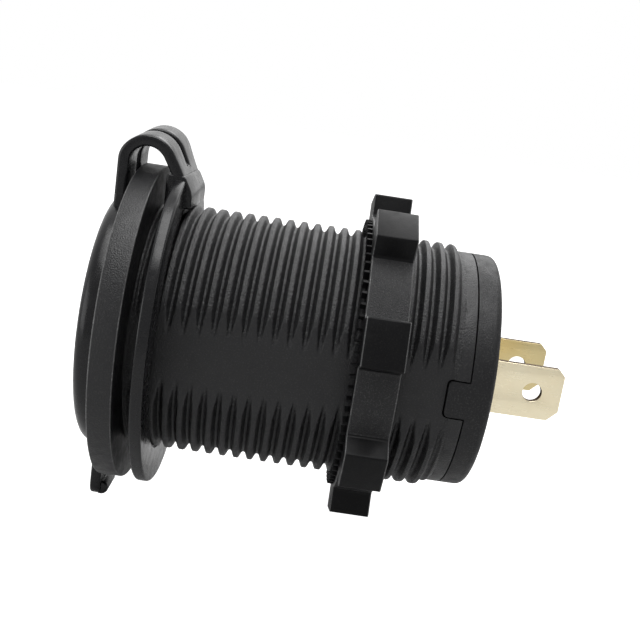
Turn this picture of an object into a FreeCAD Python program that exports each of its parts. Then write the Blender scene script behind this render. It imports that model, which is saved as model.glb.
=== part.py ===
"""Panel-mount usb charging socket with a hinged dust cap, as a parametric document.

The barrel's axis lies along Y: the capped front faces -Y, the blade terminals point to +Y
and the cap's strap stands up at +Z. The origin is on the axis, on the flange's rear face.
All sizes are in millimetres.
"""
import FreeCAD, Part
import math
import os
import re
import Sketcher

SIZES = {
    # threaded barrel
    "flange_width": 4.05, "flange_thick": 2.64, "flange_round": 0.6,
    "neck_step": 0.5, "barrel_wall": 2.5, "barrel_length": 36.63, "band_step": 0.7,
    "thread_radius": 14.5, "thread_depth": 0.85, "thread_pitch": 1.61,
    "thread_crest": 0.4, "thread_valley": 0.3, "thread_start": 4.6, "rear_band": 1.43,
    "flat_depth": 1.1, "lip_width": 0.6, "lip_thick": 1.0,
    # mounting nut
    "nut_front": 24.4, "nut_thick": 4.6, "nut_clearance": 0.1, "nut_wall": 1.7,
    "nut_overhang": 0.4, "lobe_width": 5.2, "lobe_count": 8, "lobe_angle": 18.5,
    "tooth_height": 0.6, "tooth_width": 1.1, "tooth_relief": 0.2, "tooth_count": 60,
    # dust cap: ring, strap and lid are one soft moulding, split where it bends
    "ring_overhang": 0.14, "ring_front": 1.81, "ring_thick": 1.35, "ring_clearance": 0.2,
    "lug_front": 1.0, "lug_rear": 4.0, "lug_drop": 0.25, "lug_slope": 1.8, "lug_step": 0.15,
    "strap_width": 11.2, "strap_thick": 1.25, "strap_gap": 0.66, "strap_radius": 3.25,
    "strap_lift": 0.73, "strap_lean": 27, "strap_slot": 1.8, "slot_margin": 0.7,
    "lid_radius": 15.0, "lid_gap": 0.06, "lid_edge": 2.45, "lid_crown": 0.65, "lid_round": 1.5,
    "lid_wall": 1.9, "root_rise": 0.5, "plug_depth": 1.9, "plug_wall": 1.1, "plug_clearance": 0.25,
    "tab_width": 5.5, "tab_thick": 1.3, "tab_gap": 0.7, "tab_overhang": 3.75, "tab_round": 1.6,
    # rear cover and terminals
    "cover_thick": 1.8, "cover_depth": 2.77, "cover_round": 0.8, "spigot_wall": 1.1,
    "spigot_depth": 3.63, "spigot_clearance": 0.1,
    "clip_width": 4.0, "clip_reach": 2.2, "clip_clearance": 0.12,
    "blade_width": 6.2, "blade_thick": 0.8, "blade_offset": 5.75, "blade_reach": 9.4,
    "blade_corner": 1.0, "blade_hole": 2.2, "blade_hole_setback": 3.4, "blade_clearance": 0.08,
    "blade_tail_width": 3.2, "blade_tail_reach": 0.8,
    # front bezel and charging ports
    "bezel_front": 2.4, "bezel_thick": 1.6, "bezel_clearance": 0.1,
    "shell_width": 13.1, "shell_height": 5.7, "shell_wall": 0.3, "shell_length": 14.0,
    "shell_clearance": 0.08, "tongue_width": 11.1, "tongue_thick": 1.84, "tongue_setback": 0.8,
    "tongue_offset": 0.6, "tongue_base": 4.2, "contact_width": 1.0, "contact_thick": 0.2,
    "contact_inner": 1.0, "contact_outer": 3.5, "contact_setback": 1.2,
    "window_radius": 1.0, "window_gap": 2.45, "window_clearance": 0.05,
    # boards and components
    "board_thick": 1.6, "disc_clearance": 0.4, "led_size": 1.6, "led_height": 0.7, "part_gap": 1.0,
    "coil_radius": 3.4, "core_radius": 4.4, "core_neck": 2.0, "core_height": 6.0, "core_flange": 1.1,
    "can_radius": 3.15, "can_height": 5.8, "can_groove": 0.35, "can_x": 4.6,
    "chip_length": 4.9, "chip_width": 3.9, "chip_height": 1.5, "chip_setback": 4.4,
    "diode_length": 4.3, "diode_width": 2.6, "diode_height": 2.2, "diode_x": 6.6,
    "resistor_length": 1.6, "resistor_width": 0.8, "resistor_height": 0.45,
    "resistor_count": 5, "resistor_pitch": 1.7, "resistor_x": 7.6, "resistor_setback": 2.0,
}

doc = FreeCAD.newDocument("usb_charging_socket")
dims = doc.addObject("Spreadsheet::Sheet", "dims")
for row, (alias, size) in enumerate(SIZES.items(), start=1):
    dims.set(f"A{row}", alias)
    dims.set(f"B{row}", str(size))
    dims.setAlias(f"B{row}", alias)
doc.recompute()

# Sketcher's own numbers for a sketch's origin and axes
ORIGIN_INDEX = -1
H_AXIS_INDEX = -1
V_AXIS_INDEX = -2
SAME = 1e-4
nodes = []


def bound(text):
    """An expression with each driving dimension named in the sheet."""
    def in_sheet(word):
        return f"dims.{word.group()}" if word.group() in SIZES else word.group()
    return re.sub(r"[a-z][a-z_]*", in_sheet, text)


def value(text):
    return float(dims.evalExpression(bound(text)))


def bind(item, path, text):
    item.setExpression(path, bound(text))


def keep(item, label):
    """Name an object as a sub-part that is written to its own file."""
    item.Label = label
    nodes.append(item)
    return item


def new_body(label):
    return keep(doc.addObject("PartDesign::Body", label), label)


def origin_item(body, role):
    return next(item for item in body.Origin.OriginFeatures if item.Role == role)


def bind_point(sketch, geometry, end, corner):
    """Hold one sketch point at a pair of expressions measured from the sketch origin."""
    ways = (("DistanceX", corner[0], V_AXIS_INDEX), ("DistanceY", corner[1], H_AXIS_INDEX))
    for kind, text, axis in ways:
        if text == "0":
            sketch.addConstraint(Sketcher.Constraint("PointOnObject", geometry, end, axis))
        else:
            rule = Sketcher.Constraint(kind, ORIGIN_INDEX, 1, geometry, end, value(text))
            index = sketch.addConstraint(rule)
            bind(sketch, f"Constraints[{index}]", text)


def arc_between(start, end, radius):
    """Arc from start to end, counter-clockwise for a positive radius; the shorter way round."""
    chord = end - start
    rise = math.sqrt(max(radius ** 2 - chord.Length ** 2 / 4, 0))
    side = FreeCAD.Vector(-chord.y, chord.x, 0).normalize() * math.copysign(rise, radius)
    centre = start + chord / 2 + side
    first, last = (start, end) if radius > 0 else (end, start)
    angles = [math.atan2(point.y - centre.y, point.x - centre.x) for point in (first, last)]
    circle = Part.Circle(centre, FreeCAD.Vector(0, 0, 1), abs(radius))
    return Part.ArcOfCircle(circle, angles[0], angles[1])


def draw_outline(sketch, corners):
    """Closed outline. A corner is (x, y), or (x, y, radius) where an arc leaves it."""
    points = [FreeCAD.Vector(value(c[0]), value(c[1]), 0) for c in corners]
    ends = []
    for i, corner in enumerate(corners):
        start, end = points[i], points[(i + 1) % len(points)]
        if len(corner) == 2:
            ends.append((sketch.addGeometry(Part.LineSegment(start, end)), 1, 2))
        else:
            radius = value(corner[2])
            geometry = sketch.addGeometry(arc_between(start, end, radius))
            ends.append((geometry, 1, 2) if radius > 0 else (geometry, 2, 1))
    for i, (geometry, _, last) in enumerate(ends):
        follower, first, _ = ends[(i + 1) % len(ends)]
        sketch.addConstraint(Sketcher.Constraint("Coincident", geometry, last, follower, first))
    for corner, (geometry, first, _) in zip(corners, ends):
        bind_point(sketch, geometry, first, corner)
        if len(corner) == 3:
            size = abs(value(corner[2]))
            index = sketch.addConstraint(Sketcher.Constraint("Radius", geometry, size))
            bind(sketch, f"Constraints[{index}]", corner[2].lstrip("-"))


def draw_circle(sketch, centre, radius):
    middle = FreeCAD.Vector(value(centre[0]), value(centre[1]), 0)
    circle = Part.Circle(middle, FreeCAD.Vector(0, 0, 1), value(radius))
    geometry = sketch.addGeometry(circle)
    bind_point(sketch, geometry, 3, centre)
    index = sketch.addConstraint(Sketcher.Constraint("Radius", geometry, value(radius)))
    bind(sketch, f"Constraints[{index}]", radius)


def box_outline(x_low, x_high, y_low, y_high):
    return [(x_low, y_low), (x_high, y_low), (x_high, y_high), (x_low, y_high)]


def new_sketch(body, name, role, outlines, height="0", circles=()):
    """Sketch on one of the body's origin planes, raised by height along its normal."""
    sketch = body.newObject("Sketcher::SketchObject", name)
    sketch.AttachmentSupport = [(origin_item(body, role), "")]
    sketch.MapMode = "FlatFace"
    if height != "0":
        bind(sketch, "AttachmentOffset.Base.z", height)
    for outline in outlines:
        draw_outline(sketch, outline)
    for centre, radius in circles:
        draw_circle(sketch, centre, radius)
    doc.recompute()
    return sketch


def turned(body, kind, name, outline):
    """Revolution or Groove of an outline of (radius, y) corners about the barrel's axis."""
    sketch = new_sketch(body, f"{name}_sketch", "XY_Plane", [outline])
    feature = body.newObject(f"PartDesign::{kind}", name)
    feature.Profile = sketch
    feature.ReferenceAxis = (sketch, ["V_Axis"])
    feature.Angle = 360
    doc.recompute()
    return feature


def extruded(body, kind, name, sketch, length, symmetric=False, backwards=False):
    feature = body.newObject(f"PartDesign::{kind}", name)
    feature.Profile = sketch
    bind(feature, "Length", length)
    if symmetric:
        feature.SideType = "Symmetric"
    feature.Reversed = backwards
    doc.recompute()
    return feature


def along_y(body, kind, name, outlines, y_from, y_to, circles=()):
    """Pad or Pocket of (x, z) outlines from one y to a larger y."""
    sketch = new_sketch(body, f"{name}_sketch", "XZ_Plane", outlines, f"-({y_from})", circles)
    return extruded(body, kind, name, sketch, f"({y_to}) - ({y_from})", backwards=kind == "Pad")


def across_x(body, kind, name, outlines, width, x_middle="0", circles=()):
    """Pad or Pocket of (y, z) outlines, centred on an x."""
    sketch = new_sketch(body, f"{name}_sketch", "YZ_Plane", outlines, x_middle, circles)
    return extruded(body, kind, name, sketch, width, symmetric=True)


def around_y(body, name, feature, count):
    pattern = body.newObject("PartDesign::PolarPattern", name)
    pattern.Originals = [feature]
    pattern.Axis = (origin_item(body, "Y_Axis"), [""])
    pattern.Angle = 360
    bind(pattern, "Occurrences", count)
    body.Tip = pattern
    doc.recompute()
    return pattern


def rounded(body, name, radius, wanted):
    """Fillet of the tip's edges for which wanted(edge) is true."""
    base = body.Tip
    names = [f"Edge{i}" for i, edge in enumerate(base.Shape.Edges, start=1) if wanted(edge)]
    fillet = body.newObject("PartDesign::Fillet", name)
    fillet.Base = (base, names)
    bind(fillet, "Radius", radius)
    doc.recompute()
    return fillet


def circle_at(radius, y):
    """Test for a full circle about the barrel's axis."""
    def wanted(edge):
        if edge.Degenerated or not isinstance(edge.Curve, Part.Circle):
            return False
        curve = edge.Curve
        return abs(curve.Radius - value(radius)) < SAME and abs(curve.Center.y - value(y)) < SAME
    return wanted


def block(name, x_low, x_high, y_low, y_high, z_low, z_high):
    """Box between two corners given as expressions."""
    item = doc.addObject("Part::Box", name)
    ways = (("Length", "x", x_low, x_high), ("Width", "y", y_low, y_high), ("Height", "z", z_low, z_high))
    for path, axis, low, high in ways:
        bind(item, path, f"({high}) - ({low})")
        bind(item, f"Placement.Base.{axis}", low)
    return item


# Places shared by pieces that fit one another
FLANGE_RADIUS = "(thread_radius + flange_width)"
FLANGE_FRONT = "-flange_thick"
NECK_RADIUS = "(thread_radius - neck_step)"
BAND_RADIUS = "(thread_radius - band_step)"
BORE_RADIUS = "(thread_radius - barrel_wall)"
FLAT_OFFSET = "(thread_radius - flat_depth)"
THREAD_ROOT = "(thread_radius - thread_depth)"
THREAD_END = "(barrel_length - rear_band)"
BEZEL_REAR = "(bezel_front + bezel_thick)"
LIP_REAR = f"({BEZEL_REAR} + lip_thick)"
NUT_BORE = "(thread_radius + nut_clearance)"
NUT_HUB = f"({NUT_BORE} + nut_wall)"
NUT_TIP = f"({FLANGE_RADIUS} + nut_overhang)"
NUT_REAR = "(nut_front + nut_thick)"
RING_RADIUS = f"({FLANGE_RADIUS} + ring_overhang)"
RING_REAR = "(ring_front + ring_thick)"
LUG_TOP = f"({FLANGE_RADIUS} - lug_drop)"
STRAP_FRONT = "(-flange_thick - strap_gap - strap_thick)"
STRAP_REAR = "(-flange_thick - strap_gap)"
STRAP_MIDDLE = f"({STRAP_FRONT} + strap_radius)"
STRAP_INNER = "(strap_radius - strap_thick)"
STRAP_RISE = f"({FLANGE_RADIUS} + strap_lift)"
ROOT_TOP = "(lid_radius + root_rise)"
LID_BACK = "(-flange_thick - lid_gap)"
PLUG_RADIUS = f"({BORE_RADIUS} - plug_clearance)"
TAB_REACH = f"({FLANGE_RADIUS} + tab_overhang)"
COVER_REAR = "(barrel_length + cover_depth)"
COVER_INSIDE = f"({COVER_REAR} - cover_thick)"
SPIGOT_RADIUS = f"({BORE_RADIUS} - spigot_clearance)"
BLADE_TIP = f"({COVER_REAR} + blade_reach)"
DISC_REAR = "(barrel_length - spigot_depth)"
DISC_FRONT = f"({DISC_REAR} - board_thick)"
TAIL_FRONT = f"({DISC_FRONT} - blade_tail_reach)"
BOARD_TOP = "(board_thick / 2)"
PORT_MIDDLE = f"({BOARD_TOP} + shell_height / 2)"
PORT_REAR = "(bezel_front + shell_length)"
WINDOW_X = "(shell_width / 2 + window_gap)"
BOARD_HALF = f"({WINDOW_X} + led_size / 2)"
BLADE_PLACES = ("blade_offset", "-blade_offset")


def lean_point(radius):
    """Where the strap's arch of a radius ends and its leaning rear leg begins."""
    return (f"({STRAP_MIDDLE} + {radius} * cos(strap_lean))",
            f"({STRAP_RISE} + {radius} * sin(strap_lean))")


def foot_point(radius):
    """Where that leg meets the top of the ring's lug."""
    y, z = lean_point(radius)
    return f"({y} + ({z} - {LUG_TOP}) * tan(strap_lean))", LUG_TOP


def make_barrel():
    """Threaded barrel with its flange, thread-free flats, bezel lip and clip notches."""
    body = new_body("barrel_housing")
    lip_radius = f"({BORE_RADIUS} - lip_width)"
    turned(body, "Revolution", "barrel", [
        (BORE_RADIUS, FLANGE_FRONT),
        (FLANGE_RADIUS, FLANGE_FRONT),
        (FLANGE_RADIUS, "0"),
        (NECK_RADIUS, "0"),
        (NECK_RADIUS, "thread_start"),
        ("thread_radius", "thread_start"),
        ("thread_radius", THREAD_END),
        (BAND_RADIUS, THREAD_END),
        (BAND_RADIUS, "barrel_length"),
        (BORE_RADIUS, "barrel_length"),
        (BORE_RADIUS, LIP_REAR),
        (lip_radius, LIP_REAR),
        (lip_radius, BEZEL_REAR),
        (BORE_RADIUS, BEZEL_REAR),
    ])
    first = "(thread_start + thread_pitch)"
    mouth = "(thread_pitch - thread_crest) / 2"
    above = "thread_radius + thread_depth"
    groove = turned(body, "Groove", "thread_groove", [
        (THREAD_ROOT, f"{first} - thread_valley / 2"),
        ("thread_radius", f"{first} - {mouth}"),
        (above, f"{first} - {mouth}"),
        (above, f"{first} + {mouth}"),
        ("thread_radius", f"{first} + {mouth}"),
        (THREAD_ROOT, f"{first} + thread_valley / 2"),
    ])
    turns = f"floor(({THREAD_END} - thread_start - thread_crest) / thread_pitch)"
    thread = body.newObject("PartDesign::LinearPattern", "thread")
    thread.Originals = [groove]
    thread.Direction = (origin_item(body, "Y_Axis"), [""])
    bind(thread, "Occurrences", turns)
    bind(thread, "Length", f"thread_pitch * ({turns} - 1)")
    body.Tip = thread
    doc.recompute()
    sides = [
        box_outline(FLAT_OFFSET, FLANGE_RADIUS, "-thread_radius", "thread_radius"),
        box_outline(f"-{FLANGE_RADIUS}", f"-{FLAT_OFFSET}", "-thread_radius", "thread_radius"),
    ]
    along_y(body, "Pocket", "thread_flats", sides, "thread_start", THREAD_END)
    half = "(clip_width / 2 + clip_clearance)"
    notch = box_outline(f"-{FLANGE_RADIUS}", FLANGE_RADIUS, f"-{half}", half)
    along_y(body, "Pocket", "clip_notches", [notch],
            "barrel_length - clip_reach - clip_clearance", "barrel_length")
    rounded(body, "flange_edge", "flange_round", circle_at(FLANGE_RADIUS, FLANGE_FRONT))


def make_nut():
    """Hand nut with square lobes and a serrated face that bites the panel."""
    body = new_body("mounting_nut")
    toe = "(nut_front - tooth_height)"
    turned(body, "Revolution", "nut_ring", box_outline(NUT_BORE, NUT_HUB, toe, NUT_REAR))
    half = "tooth_width / 2 * (1 + tooth_relief)"
    base = f"{toe} - tooth_height * tooth_relief"
    notch = [(base, f"-{half}"), (base, half), ("nut_front", "0")]
    sketch = new_sketch(body, "tooth_sketch", "YZ_Plane", [notch], f"{NUT_BORE} - nut_clearance")
    tooth = extruded(body, "Pocket", "tooth_gap", sketch, f"{NUT_TIP} - {NUT_BORE}", backwards=True)
    around_y(body, "serration", tooth, "tooth_count")

    def turned_corner(reach, side):
        return (f"{reach} * cos(lobe_angle) - ({side}) * sin(lobe_angle)",
                f"{reach} * sin(lobe_angle) + ({side}) * cos(lobe_angle)")

    root = f"({NUT_HUB} - nut_wall / 2)"
    lobe_outline = [
        turned_corner(root, "-lobe_width / 2"),
        turned_corner(NUT_TIP, "-lobe_width / 2"),
        turned_corner(NUT_TIP, "lobe_width / 2"),
        turned_corner(root, "lobe_width / 2"),
    ]
    lobe = along_y(body, "Pad", "lobe", [lobe_outline], "nut_front", NUT_REAR)
    around_y(body, "lobes", lobe, "lobe_count")


def make_ring():
    """Ring of the dust cap, loose round the barrel's neck, with the lug that carries the strap."""
    body = new_body("cap_ring")
    bore = "(thread_radius + ring_clearance)"
    turned(body, "Revolution", "ring", box_outline(bore, RING_RADIUS, "ring_front", RING_REAR))
    heel, _ = foot_point("strap_radius")
    lug = [
        ("lug_front", bore),
        ("lug_rear", bore),
        ("lug_rear", f"{LUG_TOP} - lug_slope"),
        (f"{heel} + lug_step", LUG_TOP),
        ("lug_front", LUG_TOP),
    ]
    across_x(body, "Pad", "lug", [lug], "strap_width")
    seat = box_outline("lug_front - ring_thick", "lug_rear + ring_thick",
                       LUG_TOP, f"{RING_RADIUS} + ring_thick")
    across_x(body, "Pocket", "strap_seat", [seat], "strap_width")


def make_strap():
    """Soft hinge strap: an arch of two bands from the ring's lug over the flange to the lid."""
    body = new_body("cap_strap")
    arch = [
        (STRAP_FRONT, ROOT_TOP),
        (STRAP_REAR, ROOT_TOP),
        (STRAP_REAR, STRAP_RISE, f"-{STRAP_INNER}"),
        lean_point(STRAP_INNER),
        foot_point(STRAP_INNER),
        foot_point("strap_radius"),
        lean_point("strap_radius") + ("strap_radius",),
        (STRAP_FRONT, STRAP_RISE),
    ]
    across_x(body, "Pad", "arch", [arch], "strap_width")
    top = f"{STRAP_RISE} + strap_radius + strap_thick"
    front_end = f"{ROOT_TOP} + slot_margin"
    rear_end = f"{LUG_TOP} + slot_margin"
    slot_front = f"{STRAP_FRONT} - strap_thick"
    slot_rear = f"{STRAP_FRONT} + 3 * strap_radius"
    slot = [
        (slot_front, front_end),
        (STRAP_MIDDLE, front_end),
        (STRAP_MIDDLE, rear_end),
        (slot_rear, rear_end),
        (slot_rear, top),
        (slot_front, top),
    ]
    across_x(body, "Pocket", "slot", [slot], "strap_slot")


def make_lid():
    """Dust cap lid: a crowned disc with a plug rim behind, a strap root above and a pull tab below."""
    body = new_body("cap_lid")
    edge_front = f"({LID_BACK} - lid_edge)"
    apex = f"({edge_front} - lid_crown)"
    crown_radius = "((lid_radius ^ 2 + lid_crown ^ 2) / (2 * lid_crown))"
    plug_inside = f"({PLUG_RADIUS} - plug_wall)"
    lid_inside = f"({apex} + lid_wall)"
    plug_end = f"({LID_BACK} + plug_depth)"
    turned(body, "Revolution", "lid", [
        ("0", apex, crown_radius),
        ("lid_radius", edge_front),
        ("lid_radius", LID_BACK),
        (PLUG_RADIUS, LID_BACK),
        (PLUG_RADIUS, plug_end),
        (plug_inside, plug_end),
        (plug_inside, lid_inside),
        ("0", lid_inside),
    ])
    rounded(body, "lid_edge_round", "lid_round", circle_at("lid_radius", edge_front))
    root = box_outline(STRAP_FRONT, STRAP_REAR, "lid_radius - lid_wall", ROOT_TOP)
    across_x(body, "Pad", "strap_root", [root], "strap_width")
    tab = [
        ("-tab_width / 2", "-lid_radius + lid_wall"),
        ("-tab_width / 2", f"-{TAB_REACH} + tab_round", "tab_round"),
        ("-tab_width / 2 + tab_round", f"-{TAB_REACH}"),
        ("tab_width / 2 - tab_round", f"-{TAB_REACH}", "tab_round"),
        ("tab_width / 2", f"-{TAB_REACH} + tab_round"),
        ("tab_width / 2", "-lid_radius + lid_wall"),
    ]
    tab_rear = f"({LID_BACK} - tab_gap)"
    along_y(body, "Pad", "pull_tab", [tab], f"{tab_rear} - tab_thick", tab_rear)


def blade_slots(width):
    """Outlines of the two slots that pass the blades, clear of a blade of that width."""
    half_slot = "(blade_thick / 2 + blade_clearance)"
    half_width = f"({width} / 2 + blade_clearance)"
    return [box_outline(f"{x} - {half_slot}", f"{x} + {half_slot}", f"-{half_width}", half_width)
            for x in BLADE_PLACES]


def make_cover():
    """Rear cover: a cup with a spigot in the barrel's bore, two side clips and two blade slots."""
    body = new_body("rear_cover")
    spigot_inside = f"({SPIGOT_RADIUS} - spigot_wall)"
    turned(body, "Revolution", "cup", [
        ("0", COVER_REAR),
        ("0", COVER_INSIDE),
        (spigot_inside, COVER_INSIDE),
        (spigot_inside, DISC_REAR),
        (SPIGOT_RADIUS, DISC_REAR),
        (SPIGOT_RADIUS, "barrel_length"),
        (BAND_RADIUS, "barrel_length"),
        (BAND_RADIUS, COVER_REAR),
    ])
    rounded(body, "rear_edge", "cover_round", circle_at(BAND_RADIUS, COVER_REAR))
    outside = f"sqrt({BAND_RADIUS} ^ 2 - clip_width ^ 2 / 4)"
    inside = f"({SPIGOT_RADIUS} - spigot_wall / 2)"
    clips = [
        box_outline(inside, outside, "-clip_width / 2", "clip_width / 2"),
        box_outline(f"-{outside}", f"-{inside}", "-clip_width / 2", "clip_width / 2"),
    ]
    along_y(body, "Pad", "clips", clips, "barrel_length - clip_reach", "barrel_length")
    along_y(body, "Pocket", "blade_slots", blade_slots("blade_width"), COVER_INSIDE, COVER_REAR)


def make_blade(label, x_middle):
    """Flat terminal blade with a latching hole, shouldered on the disc board."""
    body = new_body(label)
    wide = "blade_width / 2"
    narrow = "blade_tail_width / 2"
    outline = [
        (TAIL_FRONT, f"-{narrow}"),
        (DISC_REAR, f"-{narrow}"),
        (DISC_REAR, f"-{wide}"),
        (f"{BLADE_TIP} - blade_corner", f"-{wide}"),
        (BLADE_TIP, f"-{wide} + blade_corner"),
        (BLADE_TIP, f"{wide} - blade_corner"),
        (f"{BLADE_TIP} - blade_corner", wide),
        (DISC_REAR, wide),
        (DISC_REAR, narrow),
        (TAIL_FRONT, narrow),
    ]
    hole = ((f"{BLADE_TIP} - blade_hole_setback", "0"), "blade_hole / 2")
    across_x(body, "Pad", "blade", [outline], "blade_thick", x_middle, circles=[hole])


def make_bezel():
    """Round front face, seated on the barrel's lip, with two port openings and a lamp window hole."""
    body = new_body("front_bezel")
    turned(body, "Revolution", "face",
           box_outline("0", f"{BORE_RADIUS} - bezel_clearance", "bezel_front", BEZEL_REAR))
    half_width = "(shell_width / 2 + shell_clearance)"
    half_height = "(shell_height / 2 + shell_clearance)"
    ports = [box_outline(f"-{half_width}", half_width, f"{z} - {half_height}", f"{z} + {half_height}")
             for z in (PORT_MIDDLE, f"-{PORT_MIDDLE}")]
    window = ((WINDOW_X, "0"), "window_radius + window_clearance")
    along_y(body, "Pocket", "port_openings", ports, "bezel_front", BEZEL_REAR, circles=[window])


def make_window():
    """Clear light pipe in the bezel, over the lamp on the board's edge."""
    body = new_body("indicator_window")
    pipe = ((WINDOW_X, "0"), "window_radius")
    along_y(body, "Pad", "pipe", [], "bezel_front", BEZEL_REAR, circles=[pipe])


def make_port(level, side):
    """One charging port: a folded metal shell, its moulded tongue and four contact strips."""
    middle = PORT_MIDDLE if side > 0 else f"-{PORT_MIDDLE}"
    half_width = "(shell_width / 2)"
    half_height = "(shell_height / 2)"
    inner_width = f"({half_width} - shell_wall)"
    inner_height = f"({half_height} - shell_wall)"
    outside = box_outline(f"-{half_width}", half_width,
                          f"{middle} - {half_height}", f"{middle} + {half_height}")
    inside = box_outline(f"-{inner_width}", inner_width,
                         f"{middle} - {inner_height}", f"{middle} + {inner_height}")
    mouth_end = f"({PORT_REAR} - shell_wall)"
    shell = new_body(f"usb_shell_{level}")
    along_y(shell, "Pad", "shell", [outside], "bezel_front", PORT_REAR)
    along_y(shell, "Pocket", "mouth", [inside], "bezel_front", mouth_end)

    tongue = new_body(f"usb_tongue_{level}")
    base_front = f"({mouth_end} - tongue_base)"
    along_y(tongue, "Pad", "base", [inside], base_front, mouth_end)
    top = f"({middle} + {inner_height} - tongue_offset)"
    bottom = f"({top} - tongue_thick)"
    tongue_front = "(bezel_front + tongue_setback)"
    plate = box_outline("-tongue_width / 2", "tongue_width / 2", bottom, top)
    along_y(tongue, "Pad", "plate", [plate], tongue_front, base_front)

    strips = []
    places = ("-contact_outer", "-contact_inner", "contact_inner", "contact_outer")
    for i, x in enumerate(places, start=1):
        strips.append(block(f"contact_{level}_{i}", f"{x} - contact_width / 2", f"{x} + contact_width / 2",
                            f"{tongue_front} + contact_setback", base_front,
                            f"{bottom} - contact_thick", bottom))
    group = doc.addObject("Part::Compound", f"usb_contacts_{level}")
    group.Links = strips
    keep(group, f"usb_contacts_{level}")


def make_boards():
    """Main board along the axis between the ports, and the round board that holds the blades."""
    board = new_body("main_board")
    plate = new_sketch(board, "plate_sketch", "XY_Plane",
                       [box_outline(f"-{BOARD_HALF}", BOARD_HALF, BEZEL_REAR, DISC_FRONT)])
    extruded(board, "Pad", "plate", plate, "board_thick", symmetric=True)
    along_y(board, "Pocket", "tail_notches", blade_slots("blade_tail_width"),
            f"{TAIL_FRONT} - blade_clearance", DISC_FRONT)

    disc = new_body("terminal_board")
    turned(disc, "Revolution", "disc",
           box_outline("0", f"{BORE_RADIUS} - disc_clearance", DISC_FRONT, DISC_REAR))
    along_y(disc, "Pocket", "tail_slots", blade_slots("blade_tail_width"), DISC_FRONT, DISC_REAR)


def standing(label, outline, x, y, side):
    """Turned component that stands on the main board: (radius, height) corners about its own axis."""
    body = new_body(label)
    sketch = new_sketch(body, f"{label}_sketch", "XZ_Plane", [outline])
    feature = body.newObject("PartDesign::Revolution", f"{label}_turned")
    feature.Profile = sketch
    feature.ReferenceAxis = (sketch, ["V_Axis"])
    feature.Angle = 360
    bind(body, "Placement.Base.x", x)
    bind(body, "Placement.Base.y", y)
    bind(body, "Placement.Base.z", BOARD_TOP if side > 0 else f"-{BOARD_TOP}")
    if side < 0:
        body.Placement.Rotation = FreeCAD.Rotation(FreeCAD.Vector(1, 0, 0), 180)
    doc.recompute()
    return body


def make_components():
    """Step-down converter parts on the two faces of the main board, behind the ports."""
    coil_y = f"({PORT_REAR} + part_gap + core_radius)"
    neck_top = "(core_height - core_flange)"
    core = [
        ("0", "0"),
        ("core_radius", "0"),
        ("core_radius", "core_flange"),
        ("core_neck", "core_flange"),
        ("core_neck", neck_top),
        ("core_radius", neck_top),
        ("core_radius", "core_height"),
        ("0", "core_height"),
    ]
    standing("inductor_core", core, "0", coil_y, 1)
    winding = box_outline("core_neck", "coil_radius", "core_flange", neck_top)
    standing("inductor_coil", winding, "0", coil_y, 1)

    can_y = f"({PORT_REAR} + part_gap + can_radius)"
    bead = "can_height / 6"
    can = [
        ("0", "0"),
        ("can_radius", "0"),
        ("can_radius", bead),
        ("can_radius - can_groove", f"{bead} + can_groove"),
        ("can_radius", f"{bead} + 2 * can_groove"),
        ("can_radius", "can_height"),
        ("0", "can_height"),
    ]
    standing("input_capacitor", can, "can_x", can_y, -1)
    standing("output_capacitor", can, "-can_x", can_y, -1)

    chip_y = f"({can_y} + chip_setback)"
    keep(block("controller_chip", "-chip_length / 2", "chip_length / 2",
               f"{chip_y} - chip_width / 2", f"{chip_y} + chip_width / 2",
               f"-{BOARD_TOP} - chip_height", f"-{BOARD_TOP}"), "controller_chip")
    keep(block("rectifier_diode", "diode_x - diode_width / 2", "diode_x + diode_width / 2",
               f"{coil_y} - diode_length / 2", f"{coil_y} + diode_length / 2",
               BOARD_TOP, f"{BOARD_TOP} + diode_height"), "rectifier_diode")
    keep(block("indicator_led", f"{WINDOW_X} - led_size / 2", BOARD_HALF,
               BEZEL_REAR, f"{BEZEL_REAR} + led_size",
               BOARD_TOP, f"{BOARD_TOP} + led_height"), "indicator_led")
    chips = []
    for i in range(int(SIZES["resistor_count"])):
        y = f"({PORT_REAR} + resistor_setback + {i} * resistor_pitch)"
        chips.append(block(f"resistor_{i + 1}",
                           "-resistor_x - resistor_length / 2", "-resistor_x + resistor_length / 2",
                           f"{y} - resistor_width / 2", f"{y} + resistor_width / 2",
                           BOARD_TOP, f"{BOARD_TOP} + resistor_height"))
    group = doc.addObject("Part::Compound", "chip_resistors")
    group.Links = chips
    keep(group, "chip_resistors")


make_barrel()
make_nut()
make_ring()
make_strap()
make_lid()
make_cover()
for label, place in zip(("blade_positive", "blade_negative"), BLADE_PLACES):
    make_blade(label, place)
make_bezel()
make_window()
make_port("upper", 1)
make_port("lower", -1)
make_boards()
make_components()
doc.recompute()

for item in doc.Objects:
    if "Invalid" in item.State or "Error" in item.State:
        raise RuntimeError(f"{item.Label} failed to compute: {item.State}")
for node in nodes:
    if node.Shape.isNull() or not node.Shape.isValid() or not node.Shape.Solids:
        raise RuntimeError(f"{node.Label} has no valid shape")

os.makedirs("parts", exist_ok=True)
for node in nodes:
    node.Shape.exportStep(f"parts/{node.Label}.step")
    box = node.Shape.BoundBox
    print(f"{node.Label}: {len(node.Shape.Solids)} solid(s), {node.Shape.Volume:.1f} mm3,"
          f" x {box.XMin:.2f}..{box.XMax:.2f}, y {box.YMin:.2f}..{box.YMax:.2f},"
          f" z {box.ZMin:.2f}..{box.ZMax:.2f}")
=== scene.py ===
# %% [markdown]
# # A panel-mount charging socket
# The frame holds every piece of the socket at its real size: barrel, nut, dust cap, rear cover,
# blades, and the ports and boards inside. This lesson dresses it. Pieces with fine edges, a true
# helical thread or soft rubber get new meshes here; the rest keep their solids and get a finish.

# %% Load the frame
import bpy
import bmesh
import math
from mathutils import Matrix, Vector


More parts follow.
